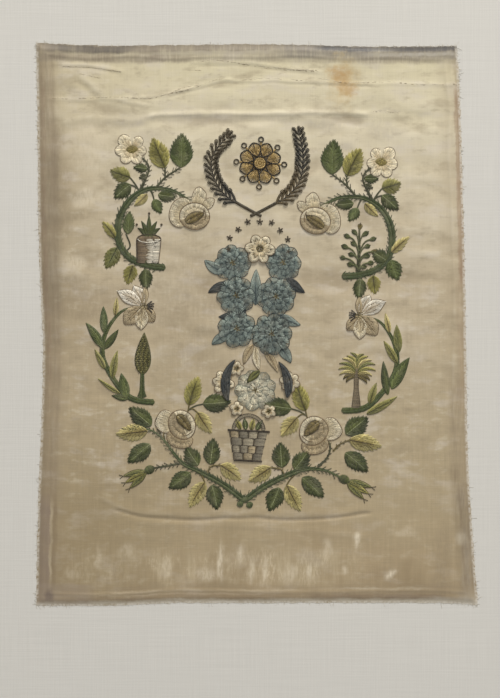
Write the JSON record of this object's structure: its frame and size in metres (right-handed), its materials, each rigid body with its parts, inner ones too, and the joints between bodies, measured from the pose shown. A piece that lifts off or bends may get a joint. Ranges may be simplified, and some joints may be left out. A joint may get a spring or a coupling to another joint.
{
  "type": "embroidered silk panel",
  "caption": "Flat rectangle of old cream silk satin, embroidered with a rose garland, lily branches, a wreath and a basket of flowers.",
  "frame": {"origin": "middle of the panel's flat underside", "axes": "+X across the panel to the right, +Y up its length, +Z out of its worked face"},
  "size_m": [0.3094, 0.394, 0.0019],
  "materials": {
    "silk_satin": "aged cream silk satin with fine upright threads, a soft sheen, worn wefts and soiled margins",
    "embroidery_silk": "twisted and flat silk thread in satin stitch, in green, olive, cream, brown and slate blue",
    "metal_thread": "tarnished metal purl and couched old gold thread"
  },
  "bodies": {
    "root": {"silk_panel": "silk_satin"}
  },
  "joints": []
}
